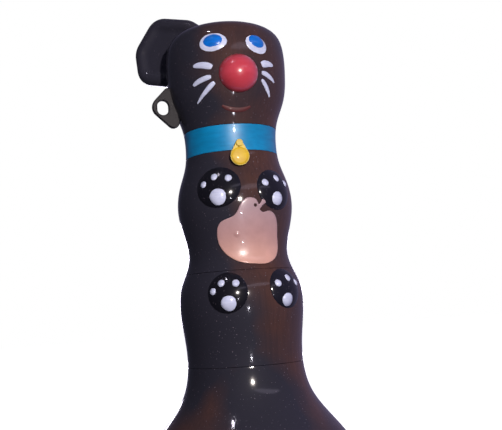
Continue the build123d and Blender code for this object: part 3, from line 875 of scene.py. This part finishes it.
def makeTagEnamel():
    look = tagLook
    pinLevel = heights("collar_ring")[0] + look["pinHeight"]
    drop = hullOutline([(0.0, pinLevel - look["tipDrop"], look["tipRadius"]),
                        (0.0, pinLevel - look["drop"], look["discRadius"])], 64)
    deselectAll()
    bpy.ops.mesh.primitive_circle_add(vertices=len(drop), radius=0.01, fill_type="NGON")
    enamel = named("tag_enamel")
    for vertex, (sideways, height) in zip(enamel.data.vertices, drop):
        vertex.co = (sideways * mm, look["edge"] * mm, height * mm)
    bpy.ops.object.mode_set(mode="EDIT")
    bpy.ops.mesh.select_mode(type="FACE")
    bpy.ops.mesh.select_all(action="SELECT")
    bpy.ops.mesh.extrude_region_move(TRANSFORM_OT_translate={"value": (0, -2 * look["edge"] * mm, 0)})
    for inset, share in look["steps"]:
        bpy.ops.mesh.inset(thickness=inset * mm, depth=share * (look["rise"] - look["edge"]) * mm)
    bpy.ops.mesh.select_all(action="SELECT")
    bpy.ops.mesh.normals_make_consistent(inside=False)
    bpy.ops.object.mode_set(mode="OBJECT")
    turn = math.radians(look["azimuth"])
    enamel.rotation_euler = (0, 0, turn)
    enamel.location = (look["front"] * math.sin(turn) * mm, -look["front"] * math.cos(turn) * mm, 0)
    settle(enamel)
    smooth(enamel, 60)
    finishPiece(enamel, materials["yellow"], "tag")


makeTagEnamel()

carried = {
    "collar_tag": "tagEdge", "tag_pin": "pin", "hang_loop": "cord", "base_pad": "felt",
    "ear_dowel_left": "beech", "ear_dowel_right": "beech",
}
starts = {"bush": "brass", "thrust": "slip", "head_washer": "slip", "base_nut": "zinc",
          "base_washer": "zinc", "spindle": "zinc", "preload": "zinc", "spring": "zinc", "lock": "zinc"}
for node, obj in nodes.items():
    finish = carried.get(node) or next((f for start, f in starts.items() if node.startswith(start)), None)
    if finish:
        obj.data.materials.clear()
        obj.data.materials.append(materials[finish])
print("tag and fittings finished")

# The camera stands a little to the left of the face, low, and looks slightly up
shot = {"distance": 385.0, "sideways": 6.91, "height": 70.0, "turn": -15.0, "pitch": 6.665,
        "roll": 4.04, "lens": 62.39}
shotTurn = math.radians(shot["turn"])
toTheRight = Vector((math.cos(shotTurn), math.sin(shotTurn), 0))
awayFromCamera = Vector((-math.sin(shotTurn), math.cos(shotTurn), 0))


def makeCamera():
    spot = toTheRight * shot["sideways"] - awayFromCamera * shot["distance"] + Vector((0, 0, shot["height"]))
    deselectAll()
    bpy.ops.object.camera_add()
    camera = bpy.context.object
    camera.data.lens = shot["lens"]
    camera.data.sensor_width = 36.0
    camera.data.clip_start = 0.01
    camera.matrix_world = (Matrix.Translation(spot * mm) @ Matrix.Rotation(shotTurn, 4, "Z")
                           @ Matrix.Rotation(math.radians(90 + shot["pitch"]), 4, "X")
                           @ Matrix.Rotation(-math.radians(shot["roll"]), 4, "Z"))
    bpy.context.scene.camera = camera


paperFloor = {"radius": 4.0, "colour": "#f4f4f4", "glow": 0.93}


def makeFloor():
    bpy.ops.mesh.primitive_circle_add(vertices=128, radius=paperFloor["radius"], fill_type="NGON")
    floor = named("floor")
    paper, _ = newMaterial("palePaper", {
        "Base Color": hexColour(paperFloor["colour"]), "Roughness": 0.9, "Emission Color": grey(1.0),
        "Emission Strength": paperFloor["glow"]})
    floor.data.materials.append(paper)
    floor.visible_glossy = False
    floor.visible_diffuse = False


lampsAim = Vector((0, 0, 0.11))
lamps = {  # azimuth from the camera towards its right, elevation, distance, width, height, power, colour
    "flash": (12.0, 9.0, 0.42, 0.016, 0.012, 1.5, "#fff4ee"),
    "lowSpark": (13.0, -12.0, 0.36, 0.006, 0.005, 0.06, "#f4f0ff"),
    "leftSpark": (-38.0, 60.0, 0.60, 0.012, 0.008, 0.25, "#f2ecff"),
    "frontSoftbox": (39.0, 27.0, 1.0, 0.85, 0.12, 0.36, "#ece2ff"),
    "backSoftbox": (185.0, 1.0, 1.2, 0.8, 0.2, 3.5, "#f4efff"),
}


def towards(azimuth, elevation):
    a, e = math.radians(azimuth), math.radians(elevation)
    level = toTheRight * math.sin(a) - awayFromCamera * math.cos(a)
    return level * math.cos(e) + Vector((0, 0, math.sin(e)))


def makeLamp(name, azimuth, elevation, distance, width, height, power, colour):
    place = lampsAim + towards(azimuth, elevation) * distance
    bpy.ops.object.light_add(type="AREA", location=place)
    light = bpy.context.object
    light.name = name
    light.data.shape = "ELLIPSE"
    light.data.size, light.data.size_y = width, height
    light.data.energy = power
    light.data.color = hexColour(colour)[:3]
    light.rotation_euler = (lampsAim - place).to_track_quat("-Z", "Y").to_euler()


roomLook = {"brightFrom": (135.0, 10.0), "tones": [(0.0, "#2e2e38"), (0.55, "#434352"), (1.0, "#8b83ab")]}


def makeRoom():
    # the room is dim, and brighter behind the object on its right; the camera itself sees plain white
    world = bpy.data.worlds.new("paleRoom")
    bpy.context.scene.world = world
    world.use_nodes = True
    world.node_tree.nodes.clear()
    rays = addNode(world, "ShaderNodeLightPath")
    direction = addNode(world, "ShaderNodeTexCoord")
    facing = addNode(world, "ShaderNodeVectorMath", {"operation": "DOT_PRODUCT"},
                     {0: direction.outputs["Generated"]})
    facing.inputs[1].default_value = towards(*roomLook["brightFrom"])
    share = addNode(world, "ShaderNodeMapRange", {"From Min": -1.0, "From Max": 1.0},
                    {"Value": facing.outputs["Value"]})
    tones = ramp(world, share.outputs["Result"], [(at, hexColour(tone)) for at, tone in roomLook["tones"]])
    room = addNode(world, "ShaderNodeBackground", links={"Color": tones})
    backdrop = addNode(world, "ShaderNodeBackground", {"Color": grey(1.0)})
    mixer = addNode(world, "ShaderNodeMixShader", links={
        0: rays.outputs["Is Camera Ray"], 1: room.outputs["Background"],
        2: backdrop.outputs["Background"]})
    addNode(world, "ShaderNodeOutputWorld", links={"Surface": mixer.outputs["Shader"]})


makeCamera()
makeFloor()
for name, settings in lamps.items():
    makeLamp(name, *settings)
makeRoom()
bpy.context.scene.view_settings.view_transform = "Standard"
print("studio made")
